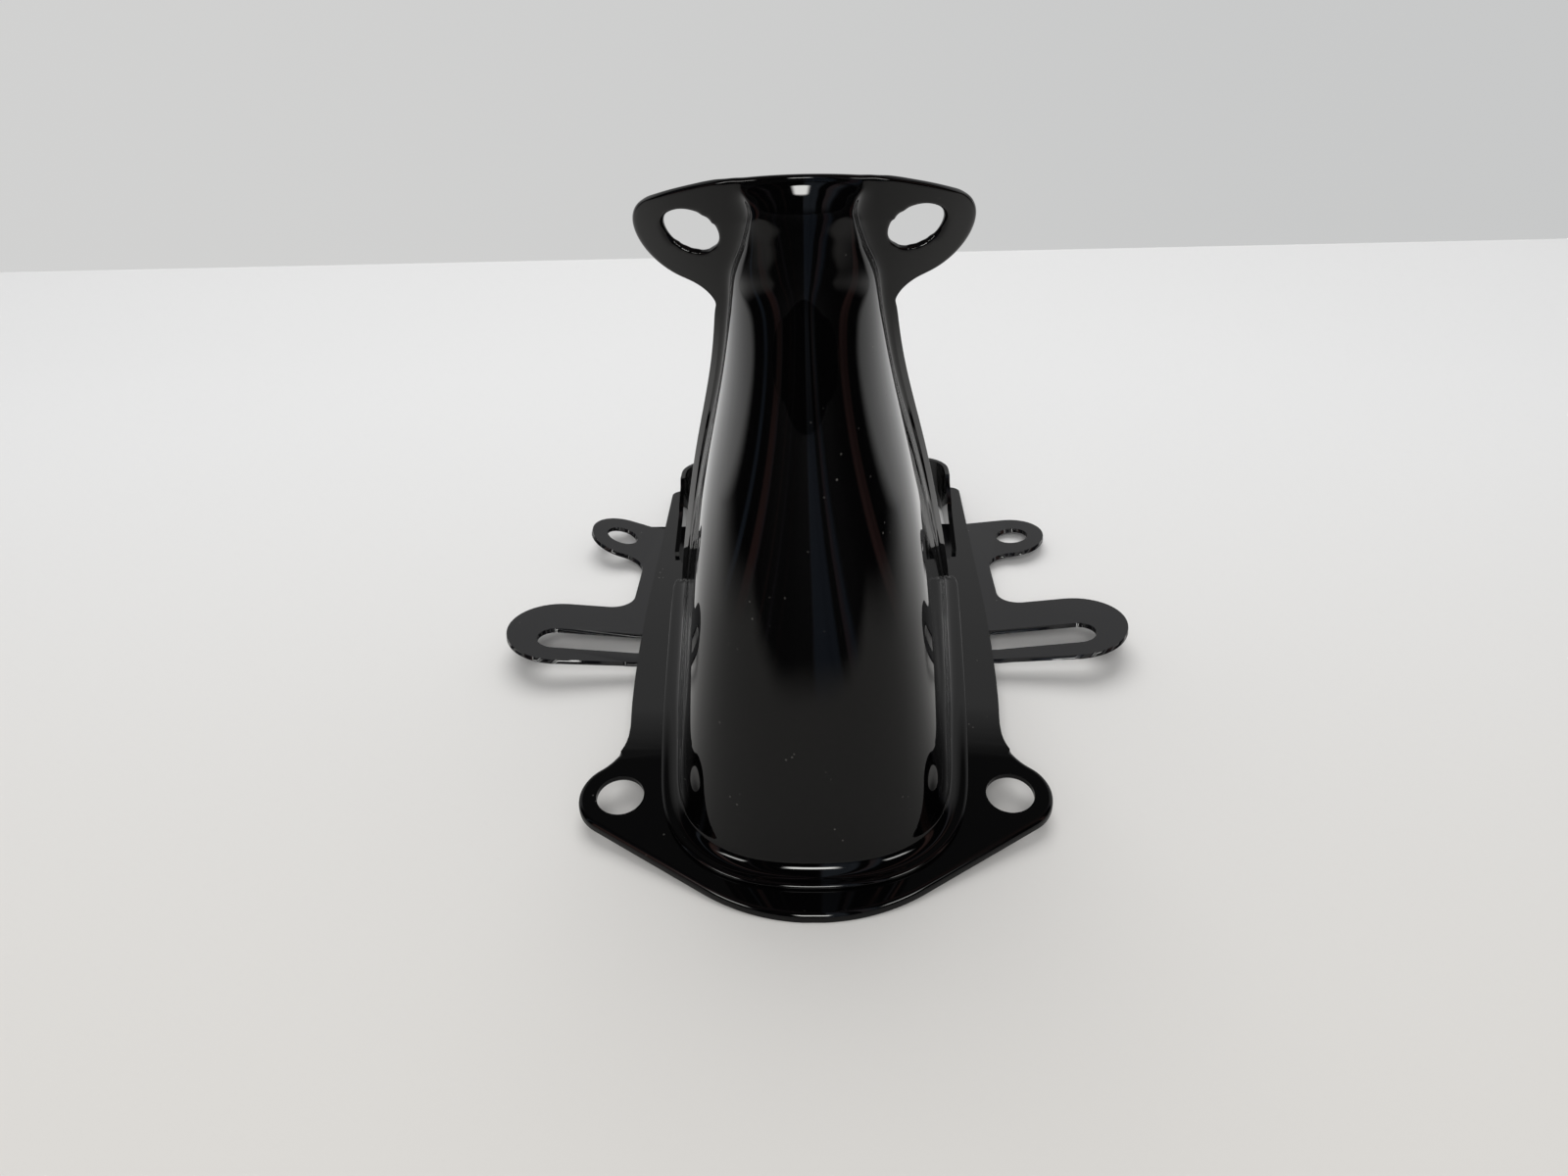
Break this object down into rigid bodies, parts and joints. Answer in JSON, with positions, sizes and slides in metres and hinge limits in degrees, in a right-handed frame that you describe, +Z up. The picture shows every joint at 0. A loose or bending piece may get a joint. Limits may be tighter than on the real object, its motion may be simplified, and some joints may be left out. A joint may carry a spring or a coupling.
{
  "type": "license plate bracket",
  "caption": "Sheet steel bracket for a motorcycle tail: crowned mudguard flange, hollow nacelle, lamp plate with two ears and slotted arms that carry the number plate.",
  "frame": {"origin": "under the middle of the part, on the surface it rests on lamp side down", "axes": "+X to the right seen from the front, +Y from the lamp ears towards the turned-up rim, +Z up towards the mudguard flange"},
  "size_m": [0.2006, 0.2219, 0.1716],
  "materials": {
    "nacelle_paint": "deep gloss black enamel on pressed steel",
    "lamp_plate_paint": "gloss black enamel on pressed steel",
    "carrier_paint": "gloss black enamel on flat steel"
  },
  "bodies": {
    "root": {"nacelle": "nacelle_paint", "lamp_plate": "lamp_plate_paint", "plate_carrier": "carrier_paint"}
  },
  "joints": []
}
